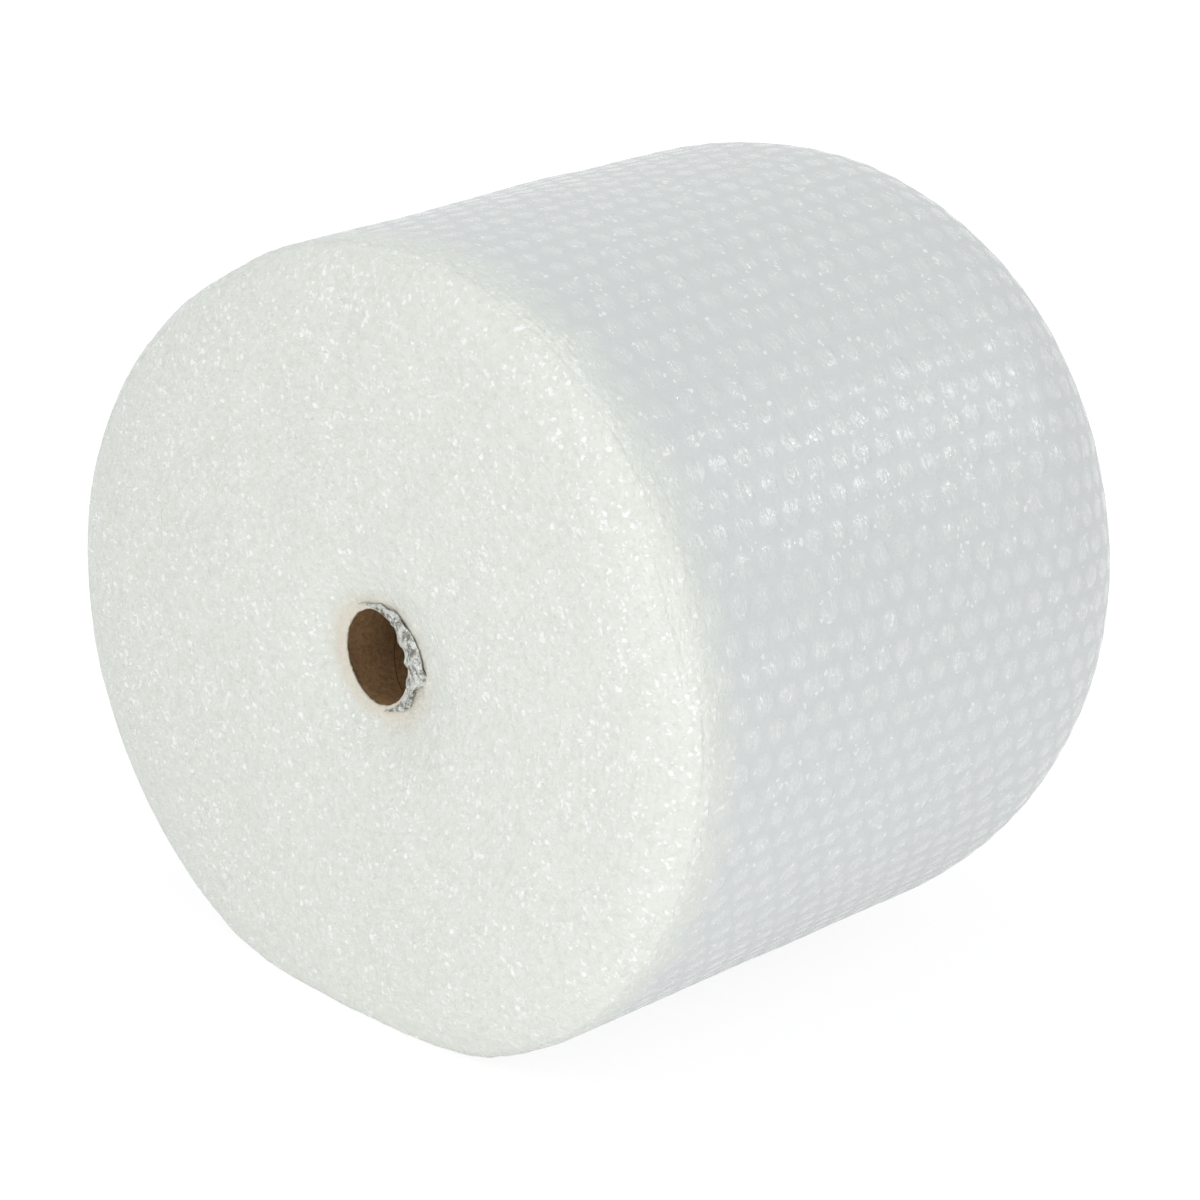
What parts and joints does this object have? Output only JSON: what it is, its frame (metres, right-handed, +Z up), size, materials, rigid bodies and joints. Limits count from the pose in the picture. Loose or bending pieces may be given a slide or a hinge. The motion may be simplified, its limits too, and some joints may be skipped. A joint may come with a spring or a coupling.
{
  "type": "bubble film roll",
  "caption": "Sagging roll of clear air-bubble packing film wound on a cardboard core, lying on its side on a small flat spot.",
  "frame": {"origin": "under the middle of the roll, on the surface that it rests on", "axes": "+Z up; the roll's axis runs along Y and the end shown in the picture faces -Y"},
  "size_m": [0.7118, 0.524, 0.6171],
  "materials": {
    "film": "satin",
    "cardboard": "matte"
  },
  "bodies": {
    "root": {"bubble_film": "film", "cardboard_core": "cardboard"}
  },
  "joints": []
}
